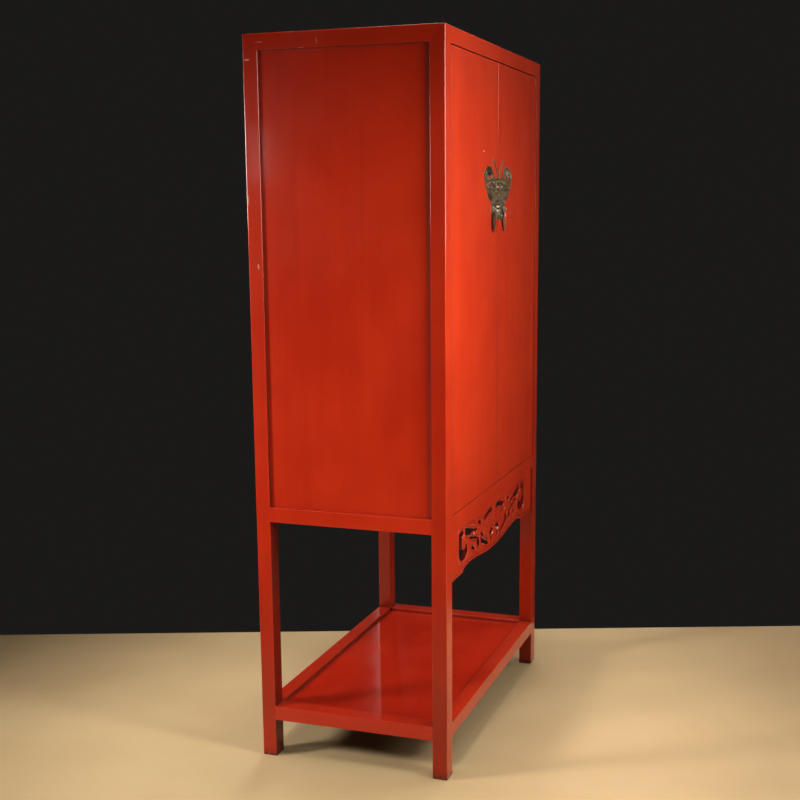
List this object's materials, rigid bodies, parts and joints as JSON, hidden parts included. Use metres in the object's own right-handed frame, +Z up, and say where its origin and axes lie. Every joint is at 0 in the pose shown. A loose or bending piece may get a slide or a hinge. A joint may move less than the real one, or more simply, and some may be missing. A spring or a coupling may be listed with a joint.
{
  "type": "chinese wedding cabinet",
  "caption": "Tall free-standing cabinet with hinged doors on wooden pivots, butterfly lock plate with hanging pulls, carved pierced apron and an open lower shelf.",
  "frame": {"origin": "on the floor, under the middle of the whole object's box", "axes": "+Z up, +X to the right across the front, the doors face -Y"},
  "size_m": [0.924, 0.5304, 1.85],
  "materials": {
    "red_lacquer": "aged red lacquer, semi-gloss",
    "carved_lacquer": "aged red lacquer over carving",
    "dark_wood": "dry dark brown wash",
    "plate_brass": "dark patina",
    "fittings_brass": "worn, dull"
  },
  "bodies": {
    "cabinet": {"front_left_post": "red_lacquer", "front_right_post": "red_lacquer", "back_left_post": "red_lacquer", "back_right_post": "red_lacquer", "top_front_rail": "red_lacquer", "top_back_rail": "red_lacquer", "top_left_rail": "red_lacquer", "top_right_rail": "red_lacquer", "top_panel": "red_lacquer", "top_batten": "dark_wood", "front_lower_rail": "red_lacquer", "back_lower_rail": "dark_wood", "left_lower_rail": "red_lacquer", "right_lower_rail": "red_lacquer", "floor_panel": "dark_wood", "floor_batten": "dark_wood", "left_side_panel": "red_lacquer", "right_side_panel": "red_lacquer", "back_centre_stile": "dark_wood", "back_left_panel": "dark_wood", "back_right_panel": "dark_wood", "front_apron": "carved_lacquer", "shelf_front_rail": "red_lacquer", "shelf_back_rail": "red_lacquer", "shelf_left_rail": "red_lacquer", "shelf_right_rail": "red_lacquer", "shelf_panel": "red_lacquer", "shelf_left_batten": "dark_wood", "shelf_right_batten": "dark_wood", "lower_inner_shelf": "dark_wood", "upper_inner_shelf": "dark_wood", "lower_shelf_left_cleat": "dark_wood", "lower_shelf_right_cleat": "dark_wood", "upper_shelf_left_cleat": "dark_wood", "upper_shelf_right_cleat": "dark_wood"},
    "left_door": {"left_door_pivot_stile": "red_lacquer", "left_door_board": "red_lacquer", "left_door_lower_batten": "dark_wood", "left_door_upper_batten": "dark_wood", "left_lock_plate": "plate_brass", "left_plate_pins": "fittings_brass", "left_lug": "fittings_brass", "left_pull_post": "fittings_brass", "left_washers": "fittings_brass"},
    "right_door": {"right_door_pivot_stile": "red_lacquer", "right_door_board": "red_lacquer", "right_door_lower_batten": "dark_wood", "right_door_upper_batten": "dark_wood", "right_lock_plate": "plate_brass", "right_plate_pins": "fittings_brass", "right_lug": "fittings_brass", "right_pull_post": "fittings_brass", "right_washers": "fittings_brass"},
    "left_pull": {"left_pull": "fittings_brass"},
    "right_pull": {"right_pull": "fittings_brass"}
  },
  "joints": [
    {"name": "left_door_hinge", "type": "hinge", "parent": "cabinet", "child": "left_door", "pos_m": [-0.4073, -0.24075, 0.68], "axis": [0, 0, -1], "range_deg": [0, 95]},
    {"name": "right_door_hinge", "type": "hinge", "parent": "cabinet", "child": "right_door", "pos_m": [0.4073, -0.24075, 0.68], "axis": [0, 0, 1], "range_deg": [0, 95]},
    {"name": "left_pull_swing", "type": "hinge", "parent": "left_door", "child": "left_pull", "pos_m": [-0.053, -0.25505, 1.43], "axis": [-1, 0, 0], "range_deg": [-1.5, 110]},
    {"name": "right_pull_swing", "type": "hinge", "parent": "right_door", "child": "right_pull", "pos_m": [0.053, -0.25505, 1.43], "axis": [-1, 0, 0], "range_deg": [-1.5, 110]}
  ]
}
